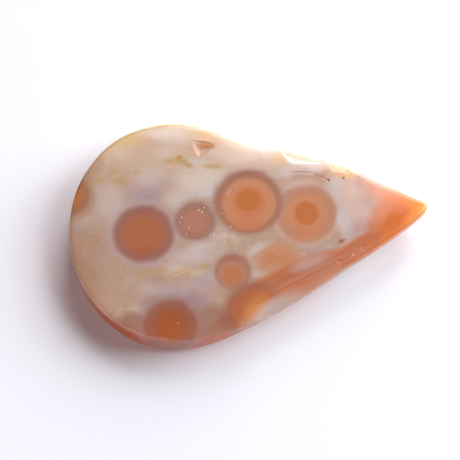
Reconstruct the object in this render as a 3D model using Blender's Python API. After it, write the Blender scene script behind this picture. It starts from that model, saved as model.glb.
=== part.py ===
# Polished freeform of ocean jasper: one solid stone, lying on its flat back.
# The outline is a teardrop, with a round end at -X and a point at +X.

import math

import bmesh
import bpy
from mathutils import Vector

# Driving dimensions, in millimetres
MM = 0.001
THICKNESS = 5.5
CROWN = 0.22
CROWN_REACH = 12.0
STEP_ALONG_OUTLINE = 0.85

# Outline of the widest section, counterclockwise from the point
OUTLINE = (
    (22.35, -0.65), (21.80, 0.30), (20.10, 1.95), (16.30, 3.86), (11.05, 6.75),
    (6.35, 8.82), (2.90, 9.62), (-0.80, 11.30), (-4.50, 13.55), (-9.90, 14.38),
    (-15.50, 12.86), (-19.90, 8.50), (-22.05, 3.10), (-22.15, -2.90), (-19.90, -8.60),
    (-15.30, -12.95), (-9.80, -14.36), (-3.10, -13.60), (2.75, -11.65), (11.00, -7.55),
    (18.20, -3.80), (21.60, -1.65),
)

# The medial line that every ring of the surface closes in on
SPINE_START = Vector((-9.0, 0.0))
SPINE_END = Vector((16.5, 0.2))
TIP = Vector(OUTLINE[0])
OUTLINE_HALF_LENGTH = OUTLINE[0][0]
EASE_FROM = -0.15
EASE_TO = 1.15

# Near the point the rings close in along the medial line, not square to the edge
TIP_SQUARENESS = 0.66
LEAST_SQUARENESS = 0.75
TIP_FROM = 16.0
TIP_FULL = 21.0

# Section of the ground edge on the round end: heel, upright wall and rim
HEEL_INSET = 1.5
HEEL_HEIGHT = 1.7
RIM_ROUND = 0.45
ROUND_EDGE = 2.0

# Section on the front flank: the wall leans in below a narrow polished bevel
FLANK_HEEL_INSET = 2.1
FLANK_HEEL_HEIGHT = 3.9
LEAN_FROM = -8.0
LEAN_FULL = 0.5
BEVEL_WIDTH = 1.6
BEVEL_DROP = 1.15
BEVEL_FROM = -1.8
BEVEL_FULL = 1.4
BEVEL_NARROWS = 3.0
BEVEL_ENDS = 20.0
FLAT_FACET = 1.2

# Narrow chamfer on the back edge beside the point, above a wall that leans in
TIP_CHAMFER = 0.75
TIP_CHAMFER_FROM = 14.0
TIP_CHAMFER_FULL = 18.0
TIP_CHAMFER_FADES = 21.0
BACK_LEAN_FROM = 8.0
BACK_LEAN_FULL = 20.0

# How far each ring of the crowned top closes in on the medial line
CROWN_RINGS = (0.12, 0.28, 0.48, 0.70)
CORNER_STEPS = 6
WALL_STEPS = 2
LEAST_WALL = 0.15

# Damage, as the corners (x, y, z) of the piece that broke away
ABOVE = THICKNESS + 0.6
TRIANGULAR_PIT = (
    (-6.30, 11.60, ABOVE), (-1.40, 10.32, ABOVE), (-5.30, 7.95, ABOVE),
    (-5.15, 10.75, 4.85), (-4.45, 10.55, 4.92), (-4.95, 10.15, 5.02),
)
BACK_LEDGE = (
    (4.70, 9.60, ABOVE), (6.20, 7.00, ABOVE), (10.10, 6.45, ABOVE), (11.40, 8.20, ABOVE),
    (4.95, 9.60, 4.55), (6.45, 7.30, 4.75), (9.90, 6.75, 4.85), (11.20, 8.20, 4.40),
)
BACK_SCALLOP = (
    (10.30, 7.60, ABOVE), (10.60, 4.50, ABOVE), (12.90, 3.90, ABOVE), (14.50, 6.20, ABOVE),
    (10.90, 7.40, 5.14), (11.50, 5.50, 5.26), (12.90, 5.10, 5.25), (14.10, 6.40, 5.08),
)
FRONT_NICK = (
    (-1.65, -14.60, 5.9), (-0.85, -12.75, 5.9), (0.05, -14.10, 5.9),
    (-1.35, -14.40, 3.2), (-0.85, -13.15, 4.2), (-0.20, -14.00, 3.2),
)

# Linear colour of the cream groundmass
CREAM = (0.58, 0.44, 0.35, 1.0)
POLISH_ROUGHNESS = 0.12

# Edges bent more than this many degrees are shaded as sharp
SHARP_FROM = 35.0


def clear_scene():
    for item in list(bpy.data.objects):
        bpy.data.objects.remove(item, do_unlink=True)


def smooth_step(value, start, end):
    part = min(max((value - start) / (end - start), 0.0), 1.0)
    return part * part * (3.0 - 2.0 * part)


def mix(one, other, part):
    return one + (other - one) * part


def smooth_outline(corners, step):
    """Closed curve through the corners, as plan points about one step apart."""
    points = [Vector(corner) for corner in corners]
    count = len(points)
    chords = [(points[(i + 1) % count] - points[i]).length for i in range(count)]
    slopes = [(points[(i + 1) % count] - points[i - 1]) / (chords[i] + chords[i - 1])
              for i in range(count)]
    curve = []
    for i in range(count):
        start, end = points[i], points[(i + 1) % count]
        leave = slopes[i] * chords[i]
        arrive = slopes[(i + 1) % count] * chords[i]
        pieces = max(3, round(chords[i] / step))
        for piece in range(pieces):
            t = piece / pieces
            curve.append(start * (2 * t ** 3 - 3 * t ** 2 + 1) + leave * (t ** 3 - 2 * t ** 2 + t)
                         + end * (3 * t ** 2 - 2 * t ** 3) + arrive * (t ** 3 - t ** 2))
    return curve


def spine_anchor(point):
    """Point of the medial line that faces one point of the outline."""
    along = (point.x + OUTLINE_HALF_LENGTH) / (2.0 * OUTLINE_HALF_LENGTH)
    return SPINE_START.lerp(SPINE_END, smooth_step(along, EASE_FROM, EASE_TO))


def is_front(point):
    """True on the side of the line from the middle to the point that faces -Y."""
    line = TIP - SPINE_START
    return line.cross(point - SPINE_START) < 0.0


def edge_section(point):
    """Heights and insets of the ground edge at one point of the outline."""
    anchor = spine_anchor(point)
    if is_front(point):
        lean = smooth_step(point.x, LEAN_FROM, LEAN_FULL)
        bevel = smooth_step(point.x, BEVEL_FROM, BEVEL_FULL)
        bevel *= 1.0 - smooth_step(point.x, BEVEL_NARROWS, BEVEL_ENDS)
        chamfer = 0.0
    else:
        lean = smooth_step(point.x, BACK_LEAN_FROM, BACK_LEAN_FULL)
        bevel = 0.0
        chamfer = smooth_step(point.x, TIP_CHAMFER_FROM, TIP_CHAMFER_FULL)
        chamfer *= 1.0 - smooth_step(point.x, TIP_CHAMFER_FADES, TIP.x)
    rim_inset = mix(mix(RIM_ROUND, BEVEL_WIDTH, bevel), TIP_CHAMFER, chamfer)
    rim_drop = mix(mix(RIM_ROUND, BEVEL_DROP, bevel), TIP_CHAMFER, chamfer)
    rim_height = THICKNESS - CROWN * min((anchor - point).length / CROWN_REACH, 1.0)
    rim_start = rim_height - rim_drop
    return {
        "heel_inset": mix(HEEL_INSET, FLANK_HEEL_INSET, lean),
        "heel_height": min(mix(HEEL_HEIGHT, FLANK_HEEL_HEIGHT, lean), rim_start - LEAST_WALL),
        "heel_power": mix(ROUND_EDGE, FLAT_FACET, lean),
        "rim_inset": rim_inset,
        "rim_start": rim_start,
        "rim_height": rim_height,
        "rim_power": mix(ROUND_EDGE, FLAT_FACET, max(bevel, chamfer)),
    }


def edge_profile(point):
    """Pairs (inset, height) from the flat back up to the rim of the top."""
    section = edge_section(point)
    profile = []
    for step in range(CORNER_STEPS + 1):
        angle = math.pi / 2 * step / CORNER_STEPS
        out = math.sin(angle) ** (2.0 / section["heel_power"])
        up = 1.0 - math.cos(angle) ** (2.0 / section["heel_power"]) if step < CORNER_STEPS else 1.0
        profile.append((section["heel_inset"] * (1.0 - out), section["heel_height"] * up))
    for step in range(1, WALL_STEPS):
        height = mix(section["heel_height"], section["rim_start"], step / WALL_STEPS)
        profile.append((0.0, height))
    for step in range(CORNER_STEPS + 1):
        angle = math.pi / 2 * step / CORNER_STEPS
        back = math.cos(angle) ** (2.0 / section["rim_power"]) if step < CORNER_STEPS else 0.0
        up = math.sin(angle) ** (2.0 / section["rim_power"])
        height = mix(section["rim_start"], section["rim_height"], up)
        profile.append((section["rim_inset"] * (1.0 - back), height))
    return profile


def column_of_points(point, tangent):
    """Points of the surface over one point of the outline, from the back to the top."""
    centre = spine_anchor(point)
    inward = (centre - point).normalized()
    normal = Vector((-tangent.y, tangent.x)).normalized()
    squareness = mix(max(inward.dot(normal), LEAST_SQUARENESS), TIP_SQUARENESS,
                     smooth_step(point.x, TIP_FROM, TIP_FULL))
    column = []
    for inset, height in edge_profile(point):
        place = point + inward * (inset / squareness)
        column.append(Vector((place.x, place.y, height)))
    rim = column[-1]
    for part in CROWN_RINGS:
        place = rim.xy.lerp(centre, part)
        rise = 1.0 - (1.0 - part / CROWN_RINGS[-1]) ** 2
        column.append(Vector((place.x, place.y, mix(rim.z, THICKNESS, rise))))
    return column


def make_stone_body():
    """Loft of the rings, closed by a flat back and the flat middle of the top."""
    outline = smooth_outline(OUTLINE, STEP_ALONG_OUTLINE)
    count = len(outline)
    columns = [column_of_points(outline[i], outline[(i + 1) % count] - outline[i - 1])
               for i in range(count)]
    shape = bmesh.new()
    grid = [[shape.verts.new(place * MM) for place in column] for column in columns]
    rings = len(grid[0])
    for i in range(count):
        here, beside = grid[i], grid[(i + 1) % count]
        for level in range(rings - 1):
            shape.faces.new((here[level], beside[level], beside[level + 1], here[level + 1]))
    shape.faces.new([column[-1] for column in grid])
    shape.faces.new([column[0] for column in reversed(grid)])
    bmesh.ops.recalc_face_normals(shape, faces=shape.faces)
    mesh = bpy.data.meshes.new("jasper_stone")
    shape.to_mesh(mesh)
    shape.free()
    stone = bpy.data.objects.new("jasper_stone", mesh)
    bpy.context.scene.collection.objects.link(stone)
    return stone


def make_cutter(name, corners):
    """Closed faceted solid over the corners, which takes a broken piece away."""
    shape = bmesh.new()
    for corner in corners:
        shape.verts.new(Vector(corner) * MM)
    bmesh.ops.convex_hull(shape, input=shape.verts)
    bmesh.ops.recalc_face_normals(shape, faces=shape.faces)
    mesh = bpy.data.meshes.new(name)
    shape.to_mesh(mesh)
    shape.free()
    cutter = bpy.data.objects.new(name, mesh)
    bpy.context.scene.collection.objects.link(cutter)
    cutter.hide_render = True
    cutter.display_type = "WIRE"
    return cutter


def cut_damage(stone, name, corners):
    chip = stone.modifiers.new(name, "BOOLEAN")
    chip.operation = "DIFFERENCE"
    chip.solver = "EXACT"
    chip.object = make_cutter(name, corners)


def polished_chalcedony():
    """Translucent cream chalcedony with a glassy polish."""
    material = bpy.data.materials.new("polished_chalcedony")
    material.use_nodes = True
    shader = material.node_tree.nodes["Principled BSDF"]
    shader.inputs["Base Color"].default_value = CREAM
    shader.inputs["Roughness"].default_value = POLISH_ROUGHNESS
    shader.inputs["Metallic"].default_value = 0.0
    material.diffuse_color = CREAM
    return material


def main():
    clear_scene()
    stone = make_stone_body()
    stone.data.materials.append(polished_chalcedony())
    stone.data.shade_smooth()
    stone.data.set_sharp_from_angle(angle=math.radians(SHARP_FROM))
    cut_damage(stone, "triangular_pit", TRIANGULAR_PIT)
    cut_damage(stone, "back_ledge", BACK_LEDGE)
    cut_damage(stone, "back_scallop", BACK_SCALLOP)
    cut_damage(stone, "front_nick", FRONT_NICK)


main()
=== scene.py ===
"""Polished ocean jasper freeform, and the plain pale stage it lies on.

The file is laid out as an add-on and run as a script. All places are in
millimetres in the stone's own frame: +X towards the point, +Z out of the top.
"""

import math
import random
from collections import namedtuple

import bpy
import numpy as np
from mathutils import Matrix, Quaternion, Vector


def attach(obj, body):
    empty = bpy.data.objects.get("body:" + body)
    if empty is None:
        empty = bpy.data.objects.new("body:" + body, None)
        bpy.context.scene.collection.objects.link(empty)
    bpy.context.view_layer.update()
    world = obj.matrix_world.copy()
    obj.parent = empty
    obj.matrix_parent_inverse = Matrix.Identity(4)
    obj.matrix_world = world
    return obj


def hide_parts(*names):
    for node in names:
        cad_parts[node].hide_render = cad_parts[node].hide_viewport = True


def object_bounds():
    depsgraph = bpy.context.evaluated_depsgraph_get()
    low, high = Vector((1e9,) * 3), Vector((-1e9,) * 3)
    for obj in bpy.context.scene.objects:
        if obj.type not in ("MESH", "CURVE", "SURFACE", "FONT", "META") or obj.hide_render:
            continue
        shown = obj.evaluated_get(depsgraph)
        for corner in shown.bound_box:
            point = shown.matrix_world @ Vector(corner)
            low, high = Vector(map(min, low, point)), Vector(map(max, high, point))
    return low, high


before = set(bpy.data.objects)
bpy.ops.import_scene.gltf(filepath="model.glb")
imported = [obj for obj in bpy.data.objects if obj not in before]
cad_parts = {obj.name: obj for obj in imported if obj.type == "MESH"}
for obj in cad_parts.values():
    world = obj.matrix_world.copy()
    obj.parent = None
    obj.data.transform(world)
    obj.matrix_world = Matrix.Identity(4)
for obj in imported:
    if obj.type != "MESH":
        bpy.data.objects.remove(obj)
CAD_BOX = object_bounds()

bl_info = {
    "name": "Ocean Jasper Freeform",
    "version": (1, 0, 0),
    "blender": (4, 5, 0),
    "location": "View3D > Sidebar > Jasper",
    "description": "A polished teardrop of orbicular chalcedony and its studio stage",
    "category": "Add Mesh",
}

MM = 0.001
NODE = "jasper_stone"
TOP = CAD_BOX[1].z / MM

# Sockets of the colour form of the Mix node
MIX_FACTOR = 0
MIX_A = 6
MIX_B = 7
MIX_RESULT = 2

# Scale at which the rings of the Wave texture are one unit apart
RING_SCALE = math.pi / 10.0

# Heights in the stone at which hazes, specks and the stains of the broken ledge are centred, how
# deep a speck goes, and the height above which the surface is carved
HAZE_LEVEL = TOP - 0.3
SPECK_LEVEL = TOP - 0.1
LEDGE_LEVEL = TOP - 0.6
SPECK_DEPTH = 0.9
CARVED_ABOVE = TOP - 2.0


def linear(code):
    """Scene-linear colour of an sRGB hex value."""
    parts = [int(code[i:i + 2], 16) / 255.0 for i in (1, 3, 5)]
    return tuple(p / 12.92 if p <= 0.04045 else ((p + 0.055) / 1.055) ** 2.4 for p in parts)


def swatch(name, description, code):
    """Colour property with a hex default."""
    return bpy.props.FloatVectorProperty(
        name=name, description=description, subtype="COLOR", size=3,
        min=0.0, max=1.0, default=linear(code))


def length(name, description, millimetres):
    """Length property with a default in millimetres."""
    return bpy.props.FloatProperty(
        name=name, description=description, unit="LENGTH", precision=5, default=millimetres * MM)


class StoneSizes(bpy.types.PropertyGroup):
    """Mesh and small relief of the stone"""
    mesh_grain: length("Mesh grain", "Edge length of the finished stone's mesh", 0.19)
    wave_size: length("Wave size", "Width of the faint waves that hand polishing leaves", 4.5)
    wave_height: length("Wave height", "Height of those waves", 0.02)
    grain_size: length("Break grain", "Grain of the broken faces", 0.45)
    grain_height: length("Break relief", "Relief of the broken faces", 0.10)
    crack_depth: length("Crack depth", "Depth of the open crack", 0.012)
    pit_depth: length("Pit depth", "Depth of the small cavities", 0.055)
    streak_depth: length("Streak depth", "Relief of the streaks on the ground bevel", 0.011)
    quartz_radius: length("Quartz radius", "Radius of the largest quartz point", 0.10)


class StoneColours(bpy.types.PropertyGroup):
    """Colours of the pattern inside the stone"""
    cream: swatch("Cream", "Groundmass of the front half", "#ba9c86")
    # Partly painted glow: the back half is lighter where the light from behind shines through
    ivory_and_glow: swatch("Ivory", "Groundmass of the back half", "#cbb19a")
    shell: swatch("Shell white", "Pale lacy groundmass", "#d3c4b6")
    milk: swatch("Milk", "Palest cool groundmass by the ledge", "#e2d6cf")
    veil: swatch("Veil", "Cool white clouds between the orbs", "#cbbdb7")
    blush: swatch("Blush", "Pinkish groundmass by the back edge", "#e0c9bc")
    rose: swatch("Rose", "Pinkish groundmass towards the point", "#d3b5a9")
    lilac: swatch("Lilac", "Cool groundmass round the orbs", "#b6a09f")
    slate: swatch("Slate lilac", "Deepest cool haze", "#a68b8e")
    straw: swatch("Straw", "Yellow stain by the back edge", "#d6b88e")
    sand: swatch("Sand", "Brownish stain at the round end", "#ae8a70")
    umber: swatch("Umber", "Brown stain along the front edge", "#a07562")
    ochre: swatch("Ochre", "Yellow specks", "#bd9b60")
    olive: swatch("Olive", "Darkest specks", "#8c6a40")
    tan: swatch("Tan", "Pale rings", "#c78c67")
    clay: swatch("Clay", "Dull outer rings", "#bb8970")
    fawn: swatch("Fawn", "Dull orb cores", "#ad7a60")
    ginger: swatch("Ginger", "Core of the small orb", "#bc7c57")
    salmon: swatch("Salmon", "Pink-orange rings", "#c7815b")
    orange: swatch("Orange", "Orb bodies", "#af6e4c")
    amber: swatch("Amber", "Yellow-orange cores", "#c07748")
    rust: swatch("Rust", "Darkest orange cores", "#a45730")
    mauve: swatch("Mauve", "Outer rings", "#a26e5e")
    plum: swatch("Plum", "Darkest ring lines", "#946257")
    dusk: swatch("Dusk", "Where a ring fades into the ground", "#ab857c")
    flame: swatch("Flame", "The point, lit through", "#cc7843")
    # Painted glow: the pale side and the yellow end of the point stand for the light from the back
    # shining through
    glowing_peach: swatch("Peach", "Pale side of the point", "#eba884")
    painted_tip_glow: swatch("Honey", "Yellow end of the point", "#f0a45c")
    tea: swatch("Tea", "Core of the grey orb", "#b5816b")
    cinnamon: swatch("Cinnamon", "Ring of the orb at the round end", "#a97550")
    ember: swatch("Ember", "Core of the front orb", "#a75f39")
    cocoa: swatch("Cocoa", "Ring of the front orb", "#9d6652")
    heather: swatch("Heather", "Grey-brown outer rings", "#a37b70")
    copper: swatch("Copper", "Band along the front flank", "#b9744f")
    gold: swatch("Gold", "Yellow heart of the cut orb", "#c68a4c")
    oyster: swatch("Oyster", "Greyish strip along the front flank", "#bda89e")
    # Painted shade: darkens the rim of the back edge where it faces the lights
    rind: swatch("Rind", "Stain that tints the rim of the back edge", "#dad0c4")
    # Painted glow: pale colour of the side that faces the back light, and of the back edge of the
    # point
    painted_glow: swatch("Froth", "Pale skin on the side that faces back", "#ffedc2")
    biscuit: swatch("Biscuit", "Inside of the triangular chip", "#c49a72")
    mushroom: swatch("Mushroom", "Greyish lens over the band", "#c09a8c")
    fox: swatch("Fox", "Layer seen in the front wall", "#b85814")


class StageSettings(bpy.types.PropertyGroup):
    """Camera, lights and floor"""
    azimuth: bpy.props.FloatProperty(
        name="Azimuth", description="Way the camera looks, about the vertical",
        subtype="ANGLE", default=math.radians(-7.0))
    elevation: bpy.props.FloatProperty(
        name="Elevation", description="Height of the camera above the horizon",
        subtype="ANGLE", default=math.radians(70.0))
    distance: length("Distance", "From the camera to what it looks at", 255.6)
    lens: bpy.props.FloatProperty(
        name="Lens", description="Focal length on a 36 mm sensor", default=160.0)
    key_power: bpy.props.FloatProperty(
        name="Key power", description="Large soft light on the right", unit="POWER",
        default=9.4)
    window_power: bpy.props.FloatProperty(
        name="Window power", description="Soft light from the back", unit="POWER",
        default=5.4)
    fill_power: bpy.props.FloatProperty(
        name="Fill power", description="Warm bounce from the front left", unit="POWER",
        default=2.7)
    world_strength: bpy.props.FloatProperty(
        name="Surroundings", description="Light from the room", default=0.0)
    key_colour: swatch("Key colour", "Light of the softbox on the right", "#eaf7ff")
    window_colour: swatch("Window colour", "Light of the softbox at the back", "#fff9fe")
    fill_colour: swatch("Fill colour", "Light of the bounce", "#ffe3e3")
    floor: swatch("Floor", "Glossy white floor", "#f2f1f4")


# One painted body inside the stone: an orb, a haze, a band or a speck. Its shells run from the
# centre (0) to its reach (1), each with a colour and how much of what lies under it it covers.
# A grain (along, across) breaks a body up into granules or streaks of that size in millimetres,
# and bands shade it with fine agate lines of that spacing.
Body = namedtuple("Body", "centre reach turn shells grain bands")


def ball(x, y, z, radius, *shells, bands=0.45):
    """Round body whose shells are given at their radius on the polished top."""
    depth = max(TOP - z, 0.0)
    reach = math.hypot(radius, depth)
    placed = [(math.hypot(r, depth) / reach if r else 0.0, name, cover) for r, name, cover in shells]
    return Body((x, y, z), (reach,) * 3, 0.0, placed, None, bands)


def haze(x, y, half_length, half_width, degrees, colour, cover, core=0.35, z=HAZE_LEVEL,
         grain=None, depth=None):
    """Soft flattened body of one colour, full out to its core."""
    shells = ((0.0, colour, cover), (core, colour, cover), (1.0, colour, 0.0))
    reach = (half_length, half_width, depth or half_width)
    return Body((x, y, z), reach, degrees, shells, grain, 0.0)


def speck(x, y, half_length, half_width, degrees, colour, cover, core=0.1, grain=None):
    """Small body right under the polish."""
    return haze(x, y, half_length, half_width, degrees, colour, cover, core, SPECK_LEVEL, grain,
                SPECK_DEPTH)


HAZES = (
    # Groundmass of the back half, partly painted lighter as the glow of the light from behind
    Body((-6.0, 13.5, 3.0), (22.0, 10.5, 14.0), -4.0, (
        (0.0, "ivory_and_glow", 1.0), (0.55, "ivory_and_glow", 0.9), (1.0, "ivory_and_glow", 0.0)), None, 0.0),
    # Yellow stain of the back edge, and the pale ground below it
    haze(-14.0, 13.0, 6.0, 2.0, 24, "straw", 0.75, 0.3),
    haze(-7.6, 14.4, 6.5, 1.1, -3, "straw", 0.8, 0.3),
    haze(-6.8, 12.6, 4.4, 1.8, -3, "shell", 1.0, 0.4),
    haze(-8.6, 10.4, 2.8, 1.5, 0, "shell", 0.7, 0.3),
    haze(-15.2, 10.6, 3.0, 1.4, 20, "shell", 0.45, 0.2),
    # Brownish stain of the round end
    haze(-19.0, 8.6, 3.0, 1.5, 52, "sand", 0.7, 0.2),
    haze(-21.4, -3.0, 7.5, 2.6, -80, "sand", 0.95),
    haze(-19.4, -0.5, 2.0, 3.0, 0, "sand", 0.85, 0.2),
    haze(-18.0, -9.8, 2.6, 1.1, -52, "sand", 0.6, 0.2),
    # Pale and pinkish ground between the back edge and the orbs
    haze(0.2, 8.9, 6.6, 2.3, -20, "blush", 0.5, 0.2),
    haze(-1.2, 9.4, 4.4, 1.6, -22, "shell", 0.8, 0.4),
    haze(3.6, 8.8, 2.0, 1.2, -20, "shell", 0.8, 0.4),
    haze(7.4, 6.6, 4.6, 1.3, -12, "veil", 0.95, 0.4),
    haze(12.4, 4.8, 3.6, 1.5, -28, "blush", 0.7, 0.2),
    # Clouds that cross the stone before the point
    haze(11.6, 2.4, 2.0, 3.2, 20, "veil", 0.95, 0.4),
    haze(13.2, 0.2, 2.2, 4.0, 8, "rose", 0.95, 0.5),
    haze(11.5, -1.8, 1.8, 2.6, 15, "veil", 0.95, 0.4),
    # Clouds and cool haze round the two orbs on the left
    haze(-5.4, 6.0, 4.8, 2.5, 8, "shell", 0.9, 0.4),
    haze(-4.6, 4.4, 2.8, 1.6, 0, "veil", 0.95, 0.4),
    haze(-8.4, 3.6, 2.6, 1.8, 20, "veil", 0.9, 0.3),
    haze(-11.8, 5.2, 4.0, 2.3, 12, "lilac", 0.75, 0.3),
    haze(-11.8, 4.6, 2.6, 1.4, 0, "slate", 0.6, 0.2),
    haze(-17.0, 4.2, 2.6, 3.6, 20, "veil", 0.6, 0.3),
    # Clouds across the middle
    haze(-6.8, -3.4, 4.4, 1.8, 4, "veil", 0.85, 0.4),
    haze(-4.4, -1.2, 1.6, 1.5, 0, "veil", 0.5, 0.3),
    haze(0.6, -3.5, 2.4, 1.1, 4, "veil", 0.85, 0.3),
    haze(-9.6, -5.2, 2.6, 1.6, 0, "veil", 0.6, 0.2),
    # Cool haze over the orb at the front edge
    haze(-8.6, -9.6, 3.6, 1.9, -4, "slate", 0.95, 0.3),
    haze(-13.4, -9.4, 2.2, 1.4, 30, "slate", 0.5, 0.2),
    haze(-6.2, -7.0, 3.6, 1.4, 5, "lilac", 0.7, 0.3),
    haze(-10.8, -7.9, 3.8, 1.3, -4, "lilac", 0.7, 0.4),
    haze(-12.4, -6.1, 2.4, 0.9, 0, "dusk", 0.35, 0.3),
    # Patches laid over those clouds
    haze(-4.6, -3.8, 2.6, 1.4, 0, "cream", 0.5, 0.3),
    haze(-16.8, -4.4, 2.6, 3.4, 8, "sand", 0.12, 0.2),
    haze(6.0, 5.8, 3.0, 1.0, -8, "veil", 0.95, 0.4),
    haze(4.4, 7.6, 2.0, 1.3, -10, "shell", 0.7, 0.3),
    haze(-11.6, 7.4, 3.0, 1.6, 0, "veil", 0.5, 0.3),
    haze(-13.6, -7.2, 2.6, 1.6, 0, "veil", 0.35, 0.1),
    # Brown stain of the front edge
    haze(-6.0, -12.2, 3.8, 2.4, 12, "umber", 0.7),
    haze(-15.4, -12.6, 4.0, 1.6, -28, "umber", 0.9, 0.4),
    haze(-7.4, -14.0, 5.5, 1.6, 3, "umber", 0.9, 0.4),
    # Ground along the band, with the pale orange patch above it
    haze(8.9, -4.6, 2.8, 1.0, 16, "lilac", 0.75, 0.3),
    haze(-0.6, -7.2, 2.0, 0.8, 25, "rose", 0.6, 0.3),
    haze(3.0, -5.2, 3.9, 2.6, -4, "tan", 0.85, 0.4),
    haze(2.6, -5.9, 2.8, 1.3, 5, "amber", 0.45, 0.3),
    # Light patches on top of all of these
    haze(14.0, 2.4, 1.8, 1.9, 0, "shell", 0.7, 0.3),
    haze(-8.6, -5.6, 3.6, 1.1, 6, "straw", 0.45, 0.2),
    haze(7.4, 7.1, 4.6, 1.2, -12, "milk", 0.8, 0.3),
    haze(-5.4, 8.6, 2.8, 1.3, -10, "veil", 0.8, 0.3),
    haze(-2.5, -2.2, 2.4, 1.0, -10, "blush", 0.6, 0.3),
    haze(2.4, 8.8, 3.4, 1.3, -18, "milk", 0.5, 0.3),
    haze(-8.6, 13.3, 4.5, 1.2, -3, "milk", 0.6, 0.3),
)

FLANK_AND_POINT = (
    # Rusty layer low in the stone, seen in the walls and through the front edge
    Body((-11.0, -13.0, 0.0), (24.0, 20.0, 5.2), 0.0, (
        (0.0, "fox", 1.0), (0.93, "fox", 1.0), (0.96, "orange", 0.9), (1.0, "umber", 0.0)), None, 0.0),
    # Brown stain over it, and yellow by the triangular chip
    haze(-15.4, -11.4, 2.6, 1.5, -30, "umber", 0.85, 0.5),
    haze(-7.5, -11.3, 2.8, 1.4, 5, "umber", 0.5, 0.4),
    haze(-4.0, -12.5, 2.2, 1.8, 0, "cocoa", 0.85, 0.4),
    haze(-4.2, 11.9, 3.2, 1.3, -16, "straw", 0.6, 0.3),
    # Orange body of the point, partly painted as lit through, with its pale side, its yellow end and
    # its back edge painted as the glow of the light from the back
    Body((24.5, -7.9, 4.0), (13.6, 13.6, 13.6), 0.0, (
        (0.0, "flame", 1.0), (0.69, "flame", 1.0), (0.82, "salmon", 0.75), (0.89, "rose", 0.7),
        (1.0, "rose", 0.0)), None, 1.2),
    haze(13.2, -2.9, 2.4, 1.6, 50, "dusk", 0.5, 0.2),
    haze(16.4, -0.9, 2.2, 1.4, 40, "glowing_peach", 0.45, 0.2),
    haze(17.9, 1.4, 4.6, 2.8, -30, "glowing_peach", 0.8, 0.1),
    haze(20.6, -0.3, 2.8, 1.4, -35, "painted_tip_glow", 0.5, 0.3),
    haze(20.5, -1.7, 2.6, 1.0, 32, "painted_tip_glow", 0.5, 0.3),
    haze(19.3, 2.05, 4.6, 0.8, -33, "painted_glow", 0.95, 0.5, depth=1.5),
    # Band along the front flank, with streaks that follow it
    Body((3.8, -8.4, 4.8), (9.6, 2.3, 3.0), 19.0, (
        (0.0, "copper", 1.0), (0.66, "copper", 0.95), (0.84, "salmon", 0.8), (1.0, "clay", 0.0)),
         None, 0.0),
    Body((12.7, -5.4, 4.8), (5.0, 1.5, 2.6), 27.0, (
        (0.0, "copper", 0.95), (0.7, "copper", 0.9), (1.0, "salmon", 0.0)), None, 0.0),
    haze(3.4, -9.0, 2.6, 0.9, 20, "amber", 0.8, 0.3),
    haze(6.7, -6.45, 3.2, 1.1, 16, "mushroom", 0.95, 0.5),
    haze(5.6, -8.2, 7.4, 1.9, 20, "plum", 0.3, 0.4, grain=(7.0, 0.55)),
    haze(7.0, -7.9, 8.4, 1.9, 20, "clay", 0.6, 0.4, grain=(9.0, 0.4)),
    haze(7.2, -8.7, 5.0, 0.8, 26, "clay", 0.6, 0.3, 4.7, depth=1.6),
)

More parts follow.
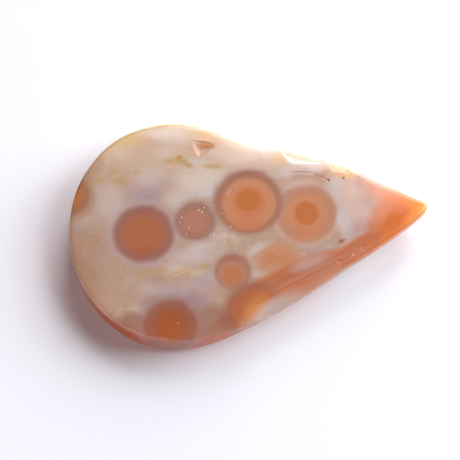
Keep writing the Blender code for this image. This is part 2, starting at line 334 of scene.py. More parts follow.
ORBS = (
    # Orb cut by the round end
    ball(-22.2, 6.1, 5.0, 4.1, (0.0, "amber", 1.0), (1.4, "amber", 1.0), (2.0, "cinnamon", 1.0),
         (2.4, "cinnamon", 1.0), (2.7, "umber", 0.95), (3.1, "sand", 0.9), (3.6, "sand", 0.4),
         (4.1, "sand", 0.0)),
    # Plain orb on the left
    ball(-13.17, -0.20, 4.8, 5.0, (0.0, "orange", 1.0), (2.0, "orange", 1.0), (3.05, "mauve", 1.0),
         (3.3, "mauve", 1.0), (3.55, "heather", 1.0), (3.8, "dusk", 0.8), (4.1, "lilac", 0.55),
         (5.0, "lilac", 0.0)),
    haze(-13.2, -2.6, 2.6, 1.0, 0, "rust", 0.3, 0.2),
    haze(-12.6, 2.9, 2.4, 0.8, 4, "plum", 0.4, 0.3),
    # Grey orb ringed with quartz
    ball(-6.66, 0.65, 5.1, 3.3, (0.0, "tea", 1.0), (1.1, "tea", 1.0), (1.7, "fawn", 1.0),
         (2.15, "heather", 1.0), (2.4, "heather", 0.8), (2.7, "dusk", 0.35), (3.3, "lilac", 0.0)),
    # Right orb of the large pair
    ball(7.15, 0.05, 4.9, 4.6, (0.0, "amber", 1.0), (1.3, "amber", 1.0), (1.75, "tan", 1.0),
         (2.3, "tan", 1.0), (2.9, "clay", 1.0), (3.35, "clay", 0.95), (3.7, "clay", 0.55),
         (4.1, "rose", 0.25), (4.6, "rose", 0.0)),
    haze(6.6, -2.5, 3.0, 1.2, 5, "salmon", 0.6, 0.3),
    haze(6.8, 4.1, 3.2, 1.0, 0, "rose", 0.5, 0.3),
    haze(6.8, -3.1, 3.2, 1.2, 5, "tan", 0.6, 0.3),
    haze(4.6, 0.0, 1.3, 2.4, 0, "tan", 0.6, 0.2),
    # Left orb of the large pair: its outer ring, its body and its core
    ball(0.21, 2.38, 4.9, 5.1, (0.0, "fawn", 1.0), (3.9, "fawn", 1.0), (4.15, "heather", 0.65),
         (4.5, "dusk", 0.2), (5.1, "veil", 0.0)),
    haze(0.2, 6.05, 3.2, 0.8, 0, "mauve", 0.7, 0.4),
    haze(-3.5, 3.0, 0.8, 3.0, 0, "mauve", 0.4, 0.3),
    ball(0.25, 2.20, 5.0, 4.1, (0.0, "salmon", 1.0), (1.7, "salmon", 1.0), (2.3, "tan", 1.0),
         (2.9, "tan", 1.0), (3.25, "clay", 1.0), (3.5, "fawn", 0.9), (4.1, "fawn", 0.0)),
    haze(0.6, 4.7, 2.6, 0.7, -4, "tan", 0.7, 0.4),
    haze(-0.4, -0.5, 2.8, 1.1, -8, "salmon", 0.9, 0.4),
    ball(0.25, 2.62, 5.0, 2.2, (0.0, "amber", 1.0), (1.3, "amber", 1.0), (1.7, "salmon", 0.6),
         (2.2, "salmon", 0.0), bands=0.3),
    # Small orb below them
    ball(-2.82, -6.37, 5.1, 2.7, (0.0, "fawn", 1.0), (1.9, "fawn", 1.0), (2.2, "heather", 0.6),
         (2.7, "lilac", 0.0)),
    haze(-2.7, -4.7, 1.7, 0.7, 0, "mauve", 0.6, 0.3),
    ball(-2.90, -6.95, 5.1, 2.3, (0.0, "ginger", 1.0), (1.0, "ginger", 1.0), (1.5, "clay", 0.7),
         (2.3, "dusk", 0.0), bands=0.3),
    # Orb at the front edge
    ball(-11.2, -12.3, 4.6, 4.6, (0.0, "ember", 1.0), (1.3, "ember", 1.0), (2.4, "cocoa", 1.0),
         (3.0, "cocoa", 0.9), (3.5, "heather", 0.6), (4.6, "slate", 0.0), bands=0.6),
    # Orb cut open by the front flank
    ball(-0.9, -11.5, 4.8, 4.2, (0.0, "copper", 1.0), (1.8, "orange", 1.0), (2.4, "orange", 1.0),
         (3.0, "cocoa", 0.75), (4.2, "umber", 0.0), bands=0.0),
    haze(0.0, -10.5, 2.6, 1.4, 35, "amber", 0.8, 0.2),
    haze(-0.6, -11.3, 2.0, 1.3, 35, "gold", 0.75, 0.2),
    haze(1.3, -11.6, 5.4, 1.5, 25, "oyster", 0.9, 0.4, 4.6, depth=1.8),
    haze(-1.5, -12.1, 1.7, 1.0, 25, "gold", 0.55, 0.2),
)

SPECKS = (
    # Two strokes below the triangular chip
    speck(-8.2, 9.0, 1.6, 0.8, -5, "ochre", 0.35),
    speck(-8.9, 9.1, 0.8, 0.5, 0, "ochre", 0.8),
    speck(-7.65, 9.2, 0.8, 0.7, 0, "ochre", 0.95),
    speck(-7.6, 9.45, 0.45, 0.4, 0, "gold", 0.8),
    speck(-7.1, 8.7, 1.0, 0.5, -25, "ochre", 0.9),
    speck(-6.6, 8.15, 0.9, 0.5, -10, "ochre", 0.85),
    speck(-5.0, 8.0, 1.0, 0.35, -8, "straw", 0.8),
    speck(-4.0, 7.7, 1.1, 0.5, -8, "ochre", 0.85),
    speck(-3.0, 7.6, 0.8, 0.5, -8, "ochre", 0.7),
    # Scattered over the left of the back half
    speck(-17.9, 7.6, 1.1, 0.6, 10, "ochre", 0.45),
    speck(-16.0, 8.4, 1.1, 0.7, 5, "ochre", 0.4),
    speck(-15.4, 7.1, 1.2, 0.7, 5, "ochre", 0.65),
    speck(-14.4, 7.7, 1.2, 0.5, 5, "ochre", 0.35, grain=(0.7, 0.5)),
    speck(-13.1, 8.1, 0.8, 0.5, 5, "ochre", 0.5),
    # Row below the orb on the left
    speck(-13.5, -5.2, 1.4, 0.6, 8, "ochre", 0.6),
    speck(-11.6, -5.2, 1.2, 0.5, 4, "ochre", 0.65),
    speck(-9.2, -5.9, 1.8, 0.8, 8, "ochre", 0.8, grain=(0.6, 0.5)),
    speck(-6.3, -5.4, 1.1, 0.5, 8, "ochre", 0.6),
    # Single stains
    speck(-9.4, 4.4, 3.0, 1.6, 20, "ochre", 0.25, grain=(0.7, 0.5)),
    speck(-2.8, -2.3, 0.6, 0.6, 0, "ochre", 0.45, 0.3),
    speck(4.7, 7.5, 1.6, 1.3, 0, "straw", 0.6),
    speck(6.7, -6.4, 0.7, 0.5, 10, "ochre", 0.3, 0.3),
    speck(12.8, 5.3, 2.2, 0.8, -28, "ochre", 0.7, 0.5, grain=(0.6, 0.45)),
    speck(11.0, -4.1, 0.65, 0.3, 18, "rust", 0.85, 0.3),
    speck(-16.6, -11.3, 1.0, 0.4, -25, "umber", 0.6, 0.3, grain=(0.7, 0.4)),
    speck(-20.2, -0.6, 1.4, 0.8, 60, "ochre", 0.25, 0.2),
    # Broken ledge on the back edge
    haze(8.3, 8.2, 3.3, 1.2, -10, "straw", 0.6, 0.4, z=LEDGE_LEVEL),
    haze(6.0, 8.7, 1.4, 0.7, -15, "ochre", 0.4, 0.3, z=LEDGE_LEVEL),
    haze(12.2, 5.1, 2.2, 1.3, -28, "straw", 0.9, 0.5, z=LEDGE_LEVEL),
    haze(12.1, 4.9, 1.7, 0.9, -28, "tan", 0.6, 0.4, z=LEDGE_LEVEL),
)

# Details painted with crisp edges: the two dark pits, the line of the crack, and the triangular
# chip, tan inside, with painted shade of its steep walls as brown lines along two of its edges
DOTS = (
    speck(10.43, 4.10, 0.36, 0.26, 0, "olive", 0.85, 0.3),
    speck(12.32, 4.14, 0.36, 0.26, 0, "olive", 0.75, 0.3),
    speck(7.4, 5.6, 1.9, 0.15, -8, "umber", 0.6, 0.5),
    speck(9.4, 4.8, 1.0, 0.15, -30, "umber", 0.6, 0.5),
    speck(-3.9, 10.65, 1.6, 0.8, -15, "biscuit", 0.9, 0.5),
    speck(-5.3, 9.95, 1.2, 0.55, -60, "tan", 0.6, 0.5),
    # Painted shade of the chip's steep walls: brown lines along two of its edges
    speck(-4.4, 11.15, 1.9, 0.2, -15, "umber", 0.7, 0.3),
    speck(-3.8, 10.0, 1.4, 0.2, 40, "umber", 0.5, 0.3),
)

# Where the stone is broken, and its ground bevel, as ellipses in plan: centre, half length, half
# width, and turn in degrees
DAMAGE = {
    "triangular chip": (-4.6, 10.1, 2.3, 1.5, -15.0),
    "ledge": (8.0, 8.1, 4.3, 2.0, -12.0),
    "scallop": (12.5, 5.5, 2.8, 1.7, -25.0),
    "nick": (-0.8, -13.7, 1.4, 1.4, 0.0),
}
BEVEL = (8.4, -8.2, 10.5, 1.3, 24.0)

# Depths below the top at which a surface starts to count as broken, does so in full, and is the
# outer wall again
BREAK_DEPTHS = (0.22, 0.35, 1.9)

# Passes of smoothing over the whole stone and over its broken places
STONE_SMOOTHING = 4
BREAK_SMOOTHING = 18

# How far up the surface faces where the polished top and the streaked bevel begin and are full
TOP_FACING = (0.95, 0.985)
BEVEL_FACING = (0.3, 0.6)

# Streaks of the bevel: coarse and fine waves across it in radians per millimetre, how often and
# how far the coarse ones wander along it, and how much the fine ones lean
COARSE_STREAKS = 17.0
FINE_STREAKS = 29.0
STREAK_WANDER = (0.7, 1.5)
STREAK_LEAN = 0.5

# Way that the back edge faces, from +X towards +Y, how far the surface faces it where the painted
# shade of the rim and the painted glow of the side lit from the back begin and are full, and how
# much of that glow the breaks have lost
BACK_BEARING = math.radians(80.0)
RIM_SHADE_FACING = (0.03, 0.20)
GLOW_FACING = (0.20, 0.50)
GLOW_LOST = 0.85

# Open crack near the back edge, as points of its line
CRACK = ((5.6, 5.75), (6.6, 5.80), (7.4, 5.62), (8.57, 5.25), (9.51, 4.80), (10.43, 4.10))
CRACK_WIDTH = 0.10

# Small cavities lined with quartz: place in plan, radius, and how many crystals
CAVITIES = (
    (-5.87, 2.21, 0.24, 8), (-5.53, 1.90, 0.20, 6), (-5.30, 2.35, 0.12, 2),
    (-8.08, 1.42, 0.14, 3), (-8.40, 0.79, 0.14, 2), (-7.39, -0.13, 0.12, 2), (-7.75, -0.85, 0.20, 3),
    (-4.40, -1.16, 0.16, 4), (-5.58, -1.68, 0.14, 2), (-4.95, -1.50, 0.10, 1),
    (-3.21, 1.49, 0.12, 1), (-2.04, 3.88, 0.16, 2), (-1.62, 4.24, 0.14, 1), (-2.32, -0.49, 0.14, 3),
    (-1.89, -3.58, 0.10, 1), (-10.20, -12.10, 0.16, 2),
    (10.35, -6.92, 0.42, 12), (12.26, -5.97, 0.16, 2), (13.45, -5.40, 0.42, 12),
)
DARK_PITS = ((10.43, 4.10, 0.17), (12.32, 4.14, 0.15), (9.95, 4.35, 0.09), (11.75, 4.35, 0.09))
PITS = tuple(cavity[:3] for cavity in CAVITIES) + DARK_PITS

# How far round the crack and the pits the mesh is finer, as parts of their widths, and the
# weights over which a face is split once and again
CRACK_MARGIN = 2.5
PIT_MARGIN = 2.0
SPLIT_ONCE = 0.3
SPLIT_TWICE = 0.45

# Quartz points: seed of their places, how near the rim of its cavity one may stand, sideways
# lean, smallest size, height of the tip, and how deep one is sunk, as parts of its radius
QUARTZ_SEED = 7
QUARTZ_SPREAD = 0.8
QUARTZ_LEAN = 0.7
QUARTZ_SMALLEST = 0.3
QUARTZ_TIP = 0.9
QUARTZ_SUNK = 0.95

# Roughness of the polished and of the broken surface
POLISHED = 0.10
BROKEN = 0.55

# Softboxes round the stone: bearing from +X towards +Y and elevation in degrees, and width and
# height in metres; their distance, and the side of the floor, in metres
Softbox = namedtuple("Softbox", "bearing elevation width height")
SOFTBOXES = {
    "key": Softbox(8.0, 34.0, 0.55, 0.78),
    "window": Softbox(65.0, 34.0, 0.40, 0.78),
    "fill": Softbox(238.0, 32.0, 0.50, 0.38),
}
LIGHT_DISTANCE = 0.8
FLOOR_SIDE = 1.6

# What the middle of the picture shows, in millimetres
LOOK_AT = (-2.39, -0.04, 2.8)


def add_node(tree, kind, settings=None, inputs=None):
    """Adds a node; an input is a socket to link or a value to set."""
    node = tree.nodes.new(kind)
    for name, value in (settings or {}).items():
        setattr(node, name, value)
    for name, value in (inputs or {}).items():
        if isinstance(value, bpy.types.NodeSocket):
            tree.links.new(value, node.inputs[name])
        else:
            node.inputs[name].default_value = value
    return node


def new_material(name):
    """Empty material with its output, and the node tree to fill."""
    material = bpy.data.materials.new(name)
    material.use_nodes = True
    material.node_tree.nodes.clear()
    return material, material.node_tree


def shaken_place(tree, place, size, shift):
    """Coordinates pushed about by noise, so that no body is a perfect ball."""
    noise = add_node(tree, "ShaderNodeTexNoise", {"noise_dimensions": "3D"},
                     {"Vector": place, "Scale": 1.0 / (size * MM), "Detail": 3.0})
    centred = add_node(tree, "ShaderNodeVectorMath", {"operation": "SUBTRACT"},
                       {0: noise.outputs["Color"], 1: (0.5, 0.5, 0.5)})
    pushed = add_node(tree, "ShaderNodeVectorMath", {"operation": "SCALE"},
                      {0: centred.outputs[0], "Scale": shift * MM})
    moved = add_node(tree, "ShaderNodeVectorMath", {"operation": "ADD"},
                     {0: place, 1: pushed.outputs[0]})
    return moved.outputs[0]


def settle(node, centre, turn, size):
    """Centres, turns and sizes a texture by its own mapping, in millimetres."""
    mapping = node.texture_mapping
    mapping.vector_type = "TEXTURE"
    mapping.translation = [v * MM for v in centre]
    mapping.rotation = (0.0, 0.0, math.radians(turn))
    mapping.scale = [v * MM for v in size]


def paint_body(tree, place, under, body, colours):
    """Lays one painted body over the colour under it."""
    within = add_node(tree, "ShaderNodeTexGradient", {"gradient_type": "SPHERICAL"},
                      {"Vector": place})
    settle(within, body.centre, body.turn, body.reach)
    ramp = add_node(tree, "ShaderNodeValToRGB", None, {"Fac": within.outputs["Fac"]})
    elements = ramp.color_ramp.elements
    while len(elements) < len(body.shells):
        elements.new(1.0)
    for element, (position, name, cover) in zip(elements, reversed(body.shells)):
        element.position = 1.0 - position
        element.color = (*getattr(colours, name), cover)
    paint, cover = ramp.outputs["Color"], ramp.outputs["Alpha"]
    if body.bands:
        paint = banded(tree, place, body, paint)
    if body.grain:
        along, across = body.grain
        settling = (body.centre, body.turn, (along, across, across))
        grain = high_noise(tree, place, 1.0, 0.40, 0.60, settling)
        cover = add_node(tree, "ShaderNodeMath", {"operation": "MULTIPLY"},
                         {0: cover, 1: grain}).outputs[0]
    laid = add_node(tree, "ShaderNodeMix", {"data_type": "RGBA"},
                    {MIX_FACTOR: cover, MIX_A: under, MIX_B: paint})
    return laid.outputs[MIX_RESULT]


def banded(tree, place, body, paint):
    """Shades a colour with fine wavering agate lines round the centre of a body."""
    lines = add_node(
        tree, "ShaderNodeTexWave", {"wave_type": "RINGS", "rings_direction": "SPHERICAL"},
        {"Vector": place, "Scale": RING_SCALE, "Distortion": 3.0, "Detail": 1.0,
         "Detail Scale": 0.6})
    settle(lines, body.centre, body.turn, (body.bands,) * 3)
    value = add_node(tree, "ShaderNodeMapRange", {"clamp": False},
                     {"Value": lines.outputs["Fac"], "To Min": 0.985, "To Max": 1.015})
    shade = add_node(tree, "ShaderNodeHueSaturation", None,
                     {"Value": value.outputs[0], "Color": paint})
    return shade.outputs[0]


def high_noise(tree, place, scale, low, high, settling=None):
    """Where noise of one scale is high: 0 under the low value, 1 over the high one."""
    noise = add_node(tree, "ShaderNodeTexNoise", None,
                     {"Vector": place, "Scale": scale, "Detail": 2.0, "Roughness": 0.5})
    if settling:
        settle(noise, *settling)
    part = add_node(tree, "ShaderNodeMapRange", {"interpolation_type": "SMOOTHSTEP", "clamp": False},
                    {"Value": noise.outputs["Fac"], "From Min": low, "From Max": high})
    return part.outputs[0]


def mottle(tree, place, under, size, low, high, colour):
    """Mixes a colour in where noise of one grain size is high."""
    mixed = add_node(tree, "ShaderNodeMix", {"data_type": "RGBA"},
                     {MIX_FACTOR: high_noise(tree, place, 1.0 / (size * MM), low, high),
                      MIX_A: under, MIX_B: (*colour, 1.0)})
    return mixed.outputs[MIX_RESULT]


def polished_chalcedony(colours):
    """Hand-polished orbicular chalcedony: waxy and translucent, so the light blurs inside it and
    glows through thin edges, under a glassy surface; broken faces are dull and sugary."""
    material, tree = new_material("polished_chalcedony")
    place = add_node(tree, "ShaderNodeTexCoord").outputs["Object"]
    settled = shaken_place(tree, place, 1.8, 0.35)
    ragged = shaken_place(tree, place, 0.6, 0.35)
    drifting = shaken_place(tree, place, 4.0, 3.0)
    colour = mottle(tree, place, (*colours.cream, 1.0), 8.0, 0.45, 0.85, colours.lilac)
    colour = mottle(tree, drifting, colour, 3.5, 0.45, 1.10, colours.shell)
    colour = mottle(tree, settled, colour, 2.0, 0.50, 0.95, colours.sand)
    for body in HAZES:
        colour = paint_body(tree, drifting, colour, body, colours)
    colour = mottle(tree, place, colour, 0.7, 0.50, 1.30, colours.straw)
    colour = mottle(tree, ragged, colour, 0.4, 0.50, 1.50, colours.umber)
    for body in FLANK_AND_POINT + ORBS:
        colour = paint_body(tree, settled, colour, body, colours)
    for body in SPECKS:
        colour = paint_body(tree, ragged, colour, body, colours)
    for body in DOTS:
        colour = paint_body(tree, place, colour, body, colours)
    # Painted light by facing: painted shade darkens the back rim, painted glow lightens the side that
    # faces the back light
    rind = add_node(tree, "ShaderNodeAttribute", {"attribute_name": "rind"})
    rim_darkened = add_node(tree, "ShaderNodeMix", {"data_type": "RGBA", "blend_type": "MULTIPLY"},
                       {MIX_FACTOR: rind.outputs["Fac"], MIX_A: colour, MIX_B: (*colours.rind, 1.0)})
    far_side = add_node(tree, "ShaderNodeAttribute", {"attribute_name": "far_side"})
    glowing = add_node(tree, "ShaderNodeMix", {"data_type": "RGBA"}, {
        MIX_FACTOR: far_side.outputs["Fac"], MIX_A: rim_darkened.outputs[MIX_RESULT],
        MIX_B: (*colours.painted_glow, 1.0)})
    colour = glowing.outputs[MIX_RESULT]
    broken = add_node(tree, "ShaderNodeAttribute", {"attribute_name": "broken_face"})
    dullness = add_node(tree, "ShaderNodeMath", {"operation": "MULTIPLY_ADD"},
                        {0: broken.outputs["Fac"], 1: BROKEN - POLISHED, 2: POLISHED})
    shader = add_node(tree, "ShaderNodeBsdfPrincipled", {"subsurface_method": "RANDOM_WALK"}, {
        "Base Color": colour, "Roughness": dullness.outputs[0], "IOR": 1.54,
        "Subsurface Weight": 0.9, "Subsurface Radius": (1.0, 0.62, 0.45),
        "Subsurface Scale": 0.007})
    add_node(tree, "ShaderNodeOutputMaterial", None, {"Surface": shader.outputs[0]})
    return material


def clear_quartz():
    """Drusy quartz: tiny clear crystals whose flat faces catch the light as white sparks."""
    material, tree = new_material("drusy_quartz")
    shader = add_node(tree, "ShaderNodeBsdfPrincipled", None, {
        "Base Color": (0.90, 0.78, 0.72, 1.0), "Roughness": 0.12, "IOR": 1.54,
        "Subsurface Weight": 0.5, "Subsurface Radius": (1.0, 0.9, 0.8),
        "Subsurface Scale": 0.0004})
    add_node(tree, "ShaderNodeOutputMaterial", None, {"Surface": shader.outputs[0]})
    return material


def glossy_white(colour):
    """Smooth white acrylic sheet: bright and even, with a faint reflection of the stone."""
    material, tree = new_material("glossy_white_acrylic")
    shader = add_node(tree, "ShaderNodeBsdfPrincipled", None, {
        "Base Color": (*colour, 1.0), "Roughness": 0.35, "IOR": 1.49})
    add_node(tree, "ShaderNodeOutputMaterial", None, {"Surface": shader.outputs[0]})
    return material


def select_only(piece):
    """Selects one object alone and makes it active."""
    bpy.ops.object.select_all(action="DESELECT")
    piece.select_set(True)
    bpy.context.view_layer.objects.active = piece


def apply_modifier(piece, kind, **settings):
    """Adds a modifier with its settings and applies it."""
    select_only(piece)
    modifier = piece.modifiers.new(kind.lower(), kind)
    for name, value in settings.items():
        setattr(modifier, name, value)
    bpy.ops.object.modifier_apply(modifier=modifier.name)


def vectors_of(items, name):
    """One vector of each vertex or face as the rows of an array."""
    values = np.empty(len(items) * 3)
    items.foreach_get(name, values)
    return values.reshape(-1, 3)


def points_of(piece):
    """Vertex places as an array, in millimetres."""
    return vectors_of(piece.data.vertices, "co") / MM


def centres_of(piece):
    """Face centres as an array, in millimetres."""
    return vectors_of(piece.data.polygons, "center") / MM


def store(piece, name, values):
    """Keeps a value for each vertex as an attribute, for the material to read."""
    mark = piece.data.attributes.new(name, "FLOAT", "POINT")
    mark.data.foreach_set("value", values)


def weigh(piece, name, weights):
    """Vertex group with one weight for each vertex that has any."""
    group = piece.vertex_groups.new(name=name)
    for index in np.flatnonzero(weights > 0.01):
        group.add([int(index)], float(min(weights[index], 1.0)), "REPLACE")
    return group.name


def away_from(points, x, y, half_length, half_width, degrees):
    """How far points are from the middle of an ellipse in plan: 0 there, 1 on its line."""
    along = Vector((math.cos(math.radians(degrees)), math.sin(math.radians(degrees))))
    east, north = points[:, 0] - x, points[:, 1] - y
    return np.hypot((east * along.x + north * along.y) / half_length,
                    (north * along.x - east * along.y) / half_width)


def fade(distance, full, none):
    """Weight 1 up to one distance, falling smoothly to 0 at another."""
    part = np.clip((none - distance) / (none - full), 0.0, 1.0)
    return part * part * (3.0 - 2.0 * part)


def rise(value, none, full):
    """Weight 0 up to one value, rising smoothly to 1 at another."""
    return 1.0 - fade(value, none, full)


def near_line(points, corners, width):
    """Weight of points by how near they are, in plan, to a line of corners."""
    nearest = np.full(len(points), np.inf)
    for start, end in zip(corners, corners[1:]):
        start, step = np.array(start), np.array(end) - np.array(start)
        part = np.clip((points[:, :2] - start) @ step / (step @ step), 0.0, 1.0)
        foot = start + part[:, None] * step
        nearest = np.minimum(nearest, np.linalg.norm(points[:, :2] - foot, axis=1))
    return np.exp(-(nearest / width) ** 2)


def near_spots(points, spots):
    """Weight of points by how deep they lie in round spots in plan."""
    deepest = np.zeros(len(points))
    for x, y, radius in spots:
        distance = np.hypot(points[:, 0] - x, points[:, 1] - y) / radius
        deepest = np.maximum(deepest, np.exp(-distance ** 2))
    return deepest


def merged_copy(name):
    """Copy of the solid's mesh as a new object, with its doubles merged."""
    piece = bpy.data.objects.new(name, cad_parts[NODE].data.copy())
    bpy.context.scene.collection.objects.link(piece)
    piece.data.materials.clear()
    select_only(piece)
    bpy.ops.object.mode_set(mode="EDIT")
    bpy.ops.mesh.select_all(action="SELECT")
    bpy.ops.mesh.remove_doubles(threshold=0.001 * MM)
    bpy.ops.object.mode_set(mode="OBJECT")
    return piece


def split_faces(piece, wanted):
    """Splits each wanted face in four, for finer relief there."""
    select_only(piece)
    bpy.ops.object.mode_set(mode="EDIT")
    bpy.ops.mesh.select_mode(type="FACE")
    bpy.ops.mesh.select_all(action="DESELECT")
    bpy.ops.object.mode_set(mode="OBJECT")
    piece.data.polygons.foreach_set("select", wanted)
    bpy.ops.object.mode_set(mode="EDIT")
    bpy.ops.mesh.subdivide(number_cuts=1, smoothness=0.0)
    bpy.ops.object.mode_set(mode="OBJECT")


def sink(piece, name, weights, depth):
    """Presses the weighted part of the surface in along its normals."""
    group = weigh(piece, name, weights)
    apply_modifier(piece, "DISPLACE", vertex_group=group, strength=-depth, mid_level=0.0)


def roughen(piece, name, weights, size, height):
    """Gives the weighted part of the surface cloudy relief, all of it inward."""
    group = weigh(piece, name, weights)
    texture = bpy.data.textures.new(name, "CLOUDS")
    texture.noise_scale = size
    apply_modifier(piece, "DISPLACE", vertex_group=group, texture=texture,
                   texture_coords="GLOBAL", strength=height, mid_level=1.0)
    bpy.data.textures.remove(texture)


def damage_weights(points):
    """Weight 1 well inside any broken place, falling to 0 at its line."""
    weights = np.zeros(len(points))
    for place in DAMAGE.values():
        weights = np.maximum(weights, fade(away_from(points, *place), 0.75, 1.0))
    return weights


def broken_weights(points):
    """Weight 1 on the broken faces themselves, which lie below the polished top."""
    start, full, end = BREAK_DEPTHS
    depth = TOP - points[:, 2]
    return damage_weights(points) * rise(depth, start, full) * (depth < end)


class JASPER_OT_polished_stone(bpy.types.Operator):
    """Model the polished stone over its solid, with its chips, crack, pits and streaks"""
    bl_idname = "jasper.polished_stone"
    bl_label = "Polished Stone"

    def execute(self, context):
        sizes = context.scene.jasper_sizes
        solid = merged_copy("solid")
        stone = merged_copy("polished_stone")
        bpy.ops.object.mode_set(mode="EDIT")
        bpy.ops.mesh.select_all(action="SELECT")
        bpy.ops.mesh.tris_convert_to_quads()
        bpy.ops.mesh.select_mode(type="EDGE")
        bpy.ops.mesh.select_all(action="DESELECT")
        bpy.ops.mesh.edges_select_sharp(sharpness=math.radians(30.0))
        bpy.ops.transform.edge_crease(value=1.0)
        bpy.ops.object.mode_set(mode="OBJECT")
        apply_modifier(stone, "SUBSURF", levels=2, render_levels=2)
        apply_modifier(stone, "REMESH", mode="VOXEL", voxel_size=sizes.mesh_grain)
        apply_modifier(stone, "SMOOTH", factor=0.5, iterations=STONE_SMOOTHING)
        self.refine(stone)
        group = weigh(stone, "damage", damage_weights(points_of(stone)))
        apply_modifier(stone, "SHRINKWRAP", target=solid, vertex_group=group)
        bpy.data.objects.remove(solid)
        apply_modifier(stone, "SMOOTH", vertex_group=group, factor=0.5,
                       iterations=BREAK_SMOOTHING)
        self.carve(stone, sizes)
        self.mark_surface(stone)
        stone.vertex_groups.clear()
        bpy.ops.object.shade_smooth()
        stone.data.materials.append(polished_chalcedony(context.scene.jasper_colours))
        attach(stone, "root")
        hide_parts(NODE)
        return {"FINISHED"}

    def refine(self, stone):
        """Splits the faces by the chips, the crack and the bevel once, and round the pits twice."""
        spots = [(x, y, PIT_MARGIN * radius) for x, y, radius in PITS]
        centres = centres_of(stone)
        wanted = damage_weights(centres) > SPLIT_ONCE
        wanted |= near_line(centres, CRACK, CRACK_MARGIN * CRACK_WIDTH) > SPLIT_ONCE
        wanted |= near_spots(centres, spots) > SPLIT_ONCE
        wanted |= away_from(centres, *BEVEL) < 1.0
        split_faces(stone, wanted & (centres[:, 2] > CARVED_ABOVE))
        centres = centres_of(stone)
        again = near_spots(centres, spots) > SPLIT_TWICE
        split_faces(stone, again & (centres[:, 2] > CARVED_ABOVE))

    def carve(self, stone, sizes):
        """Polishing waves, broken grain, the crack, the pits and the streaks of the bevel."""
        points = points_of(stone)
        up = vectors_of(stone.data.vertices, "normal")[:, 2]
        flat = rise(up, *TOP_FACING) * (1.0 - damage_weights(points))
        roughen(stone, "waves", flat, sizes.wave_size, sizes.wave_height)
        roughen(stone, "grain", broken_weights(points), sizes.grain_size, sizes.grain_height)
        high = points[:, 2] > CARVED_ABOVE
        sink(stone, "crack", near_line(points, CRACK, CRACK_WIDTH) * high, sizes.crack_depth)
        sink(stone, "pits", near_spots(points, PITS) * high, sizes.pit_depth)
        bevel = fade(away_from(points, *BEVEL), 0.7, 1.0) * rise(up, *BEVEL_FACING)
        bevel *= high & (up < TOP_FACING[1])
        sink(stone, "streaks", bevel * self.streaks(points), sizes.streak_depth)

    def streaks(self, points):
        """Uneven waves across the bevel, from 0 to 1, that run along it."""
        x, y, _, _, degrees = BEVEL
        turn = math.radians(degrees)
        along = (points[:, 0] - x) * math.cos(turn) + (points[:, 1] - y) * math.sin(turn)
        across = (points[:, 1] - y) * math.cos(turn) - (points[:, 0] - x) * math.sin(turn)
        often, far = STREAK_WANDER
        coarse = np.sin(across * COARSE_STREAKS + np.sin(along * often) * far)
        fine = np.sin(across * FINE_STREAKS + along * STREAK_LEAN)
        return 0.5 + 0.25 * (coarse + fine)

    def mark_surface(self, stone):
        """Stores where the stone is broken, where the side facing back gets painted glow and its rim
        painted shade.
        """
        points, normals = points_of(stone), vectors_of(stone.data.vertices, "normal")
        # How far each vertex faces the back lights sets the painted glow and the painted rim shade
        facing = normals[:, 0] * math.cos(BACK_BEARING) + normals[:, 1] * math.sin(BACK_BEARING)
        damage = damage_weights(points)
        glow_amount = rise(facing, *GLOW_FACING) * (1.0 - GLOW_LOST * damage)
        store(stone, "broken_face", broken_weights(points))
        store(stone, "far_side", glow_amount)
        store(stone, "rind", rise(facing, *RIM_SHADE_FACING) * (1.0 - glow_amount) * (1.0 - damage))


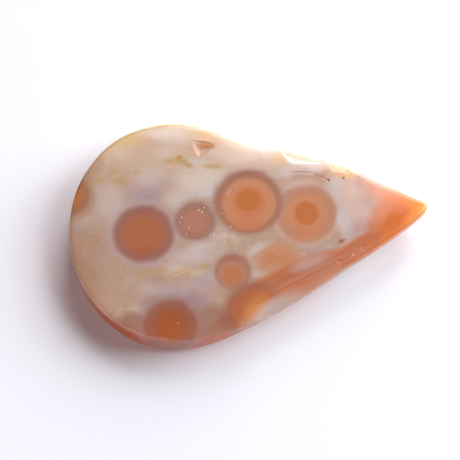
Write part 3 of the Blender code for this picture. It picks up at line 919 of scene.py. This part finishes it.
class JASPER_OT_drusy_quartz(bpy.types.Operator):
    """Model one quartz point and grow its copies in the small cavities of the stone"""
    bl_idname = "jasper.drusy_quartz"
    bl_label = "Drusy Quartz"

    def execute(self, context):
        sizes = context.scene.jasper_sizes
        stone = bpy.data.objects.get("polished_stone")
        if stone is None:
            raise RuntimeError("Model the polished stone first")
        point = self.quartz_point(sizes.quartz_radius)
        chance = random.Random(QUARTZ_SEED)
        copies = []
        for x, y, radius, count in CAVITIES:
            for _ in range(count):
                bearing = chance.uniform(0.0, math.tau)
                out = radius * math.sqrt(chance.random()) * QUARTZ_SPREAD
                above = Vector((x + out * math.cos(bearing), y + out * math.sin(bearing), 2.0 * TOP))
                found, place, normal, _ = stone.ray_cast(above * MM, Vector((0.0, 0.0, -1.0)))
                if not found:
                    raise RuntimeError("A cavity lies off the stone")
                lean = Vector([chance.uniform(-QUARTZ_LEAN, QUARTZ_LEAN) for _ in range(3)])
                size = chance.uniform(QUARTZ_SMALLEST, 1.0)
                turn = (normal + lean).to_track_quat("Z", "Y") @ Quaternion(
                    (0.0, 0.0, 1.0), chance.uniform(0.0, math.tau))
                crystal = bpy.data.objects.new("crystal", point.data.copy())
                context.scene.collection.objects.link(crystal)
                sunk = place - normal * (QUARTZ_SUNK * size * sizes.quartz_radius)
                crystal.data.transform(Matrix.LocRotScale(sunk, turn, Vector((size,) * 3)))
                copies.append(crystal)
        bpy.data.objects.remove(point)
        select_only(copies[0])
        for crystal in copies:
            crystal.select_set(True)
        bpy.ops.object.join()
        druse = context.object
        druse.name = "drusy_quartz"
        druse.data.materials.append(clear_quartz())
        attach(druse, "root")
        return {"FINISHED"}

    def quartz_point(self, radius):
        """Six-sided prism about the origin, with a pyramid on it."""
        bpy.ops.object.select_all(action="DESELECT")
        bpy.ops.mesh.primitive_cylinder_add(
            vertices=6, radius=radius, depth=radius, location=(0.0, 0.0, 0.0))
        point = bpy.context.object
        bpy.ops.object.mode_set(mode="EDIT")
        bpy.ops.mesh.select_mode(type="FACE")
        bpy.ops.mesh.select_all(action="DESELECT")
        bpy.ops.object.mode_set(mode="OBJECT")
        for face in point.data.polygons:
            face.select = face.normal.z > 0.9
        bpy.ops.object.mode_set(mode="EDIT")
        bpy.ops.mesh.extrude_region_move(
            TRANSFORM_OT_translate={"value": (0.0, 0.0, QUARTZ_TIP * radius)})
        bpy.ops.mesh.merge(type="CENTER")
        bpy.ops.mesh.select_all(action="SELECT")
        bpy.ops.mesh.normals_make_consistent(inside=False)
        bpy.ops.object.mode_set(mode="OBJECT")
        return point


class JASPER_OT_stage(bpy.types.Operator):
    """Lay the pale floor and set the lights and the camera"""
    bl_idname = "jasper.stage"
    bl_label = "Stage"

    def execute(self, context):
        settings = context.scene.jasper_stage
        bpy.ops.object.select_all(action="DESELECT")
        bpy.ops.mesh.primitive_plane_add(size=FLOOR_SIDE, location=(0.0, 0.0, 0.0))
        floor = context.object
        floor.name = "floor"
        floor.data.materials.append(glossy_white(settings.floor))
        for name, box in SOFTBOXES.items():
            power, colour = getattr(settings, f"{name}_power"), getattr(settings, f"{name}_colour")
            add_soft_light(name, box, power, colour)
        add_surroundings(settings.world_strength)
        add_camera(settings)
        context.scene.view_settings.view_transform = "Standard"
        return {"FINISHED"}


def aim(thing, target):
    """Turns a light or a camera to face a place."""
    away = thing.location - target
    thing.rotation_mode = "QUATERNION"
    thing.rotation_quaternion = away.to_track_quat("Z", "Y")


def add_soft_light(name, box, power, colour):
    """Rectangular softbox that faces the stone."""
    around, up = math.radians(box.bearing), math.radians(box.elevation)
    place = Vector((math.cos(around) * math.cos(up), math.sin(around) * math.cos(up),
                    math.sin(up))) * LIGHT_DISTANCE
    bpy.ops.object.light_add(type="AREA", location=place)
    light = bpy.context.object
    light.name = name
    light.data.shape = "RECTANGLE"
    light.data.size = box.width
    light.data.size_y = box.height
    light.data.energy = power
    light.data.color = colour
    aim(light, Vector((0.0, 0.0, 0.0)))


def add_surroundings(strength):
    """White room round the stage."""
    world = bpy.data.worlds.new("white_room")
    world.use_nodes = True
    world.node_tree.nodes["Background"].inputs["Color"].default_value = (1.0, 1.0, 1.0, 1.0)
    world.node_tree.nodes["Background"].inputs["Strength"].default_value = strength
    bpy.context.scene.world = world


def add_camera(settings):
    """Camera at the angle of the picture."""
    azimuth, elevation = settings.azimuth, settings.elevation
    back = Vector((math.sin(azimuth) * math.cos(elevation),
                   -math.cos(azimuth) * math.cos(elevation), math.sin(elevation)))
    target = Vector(LOOK_AT) * MM
    bpy.ops.object.camera_add(location=target + back * settings.distance)
    camera = bpy.context.object
    camera.name = "camera"
    camera.data.lens = settings.lens
    camera.data.sensor_width = 36.0
    camera.data.clip_start = 0.01
    camera.data.clip_end = 10.0
    aim(camera, target)
    bpy.context.scene.camera = camera


class JASPER_PT_panel(bpy.types.Panel):
    bl_label = "Ocean Jasper"
    bl_idname = "JASPER_PT_panel"
    bl_space_type = "VIEW_3D"
    bl_region_type = "UI"
    bl_category = "Jasper"

    def draw(self, context):
        scene = context.scene
        for group in (scene.jasper_sizes, scene.jasper_colours, scene.jasper_stage):
            box = self.layout.box()
            for name in group.__annotations__:
                box.prop(group, name)
        for step in STEPS:
            self.layout.operator(step.bl_idname)


STEPS = (JASPER_OT_polished_stone, JASPER_OT_drusy_quartz, JASPER_OT_stage)
CLASSES = (StoneSizes, StoneColours, StageSettings, *STEPS, JASPER_PT_panel)


def register():
    for item in CLASSES:
        bpy.utils.register_class(item)
    bpy.types.Scene.jasper_sizes = bpy.props.PointerProperty(type=StoneSizes)
    bpy.types.Scene.jasper_colours = bpy.props.PointerProperty(type=StoneColours)
    bpy.types.Scene.jasper_stage = bpy.props.PointerProperty(type=StageSettings)


def unregister():
    del bpy.types.Scene.jasper_stage
    del bpy.types.Scene.jasper_colours
    del bpy.types.Scene.jasper_sizes
    for item in reversed(CLASSES):
        bpy.utils.unregister_class(item)


def main():
    register()
    bpy.ops.jasper.polished_stone()
    bpy.ops.jasper.drusy_quartz()
    bpy.ops.jasper.stage()


if __name__ == "__main__":
    main()
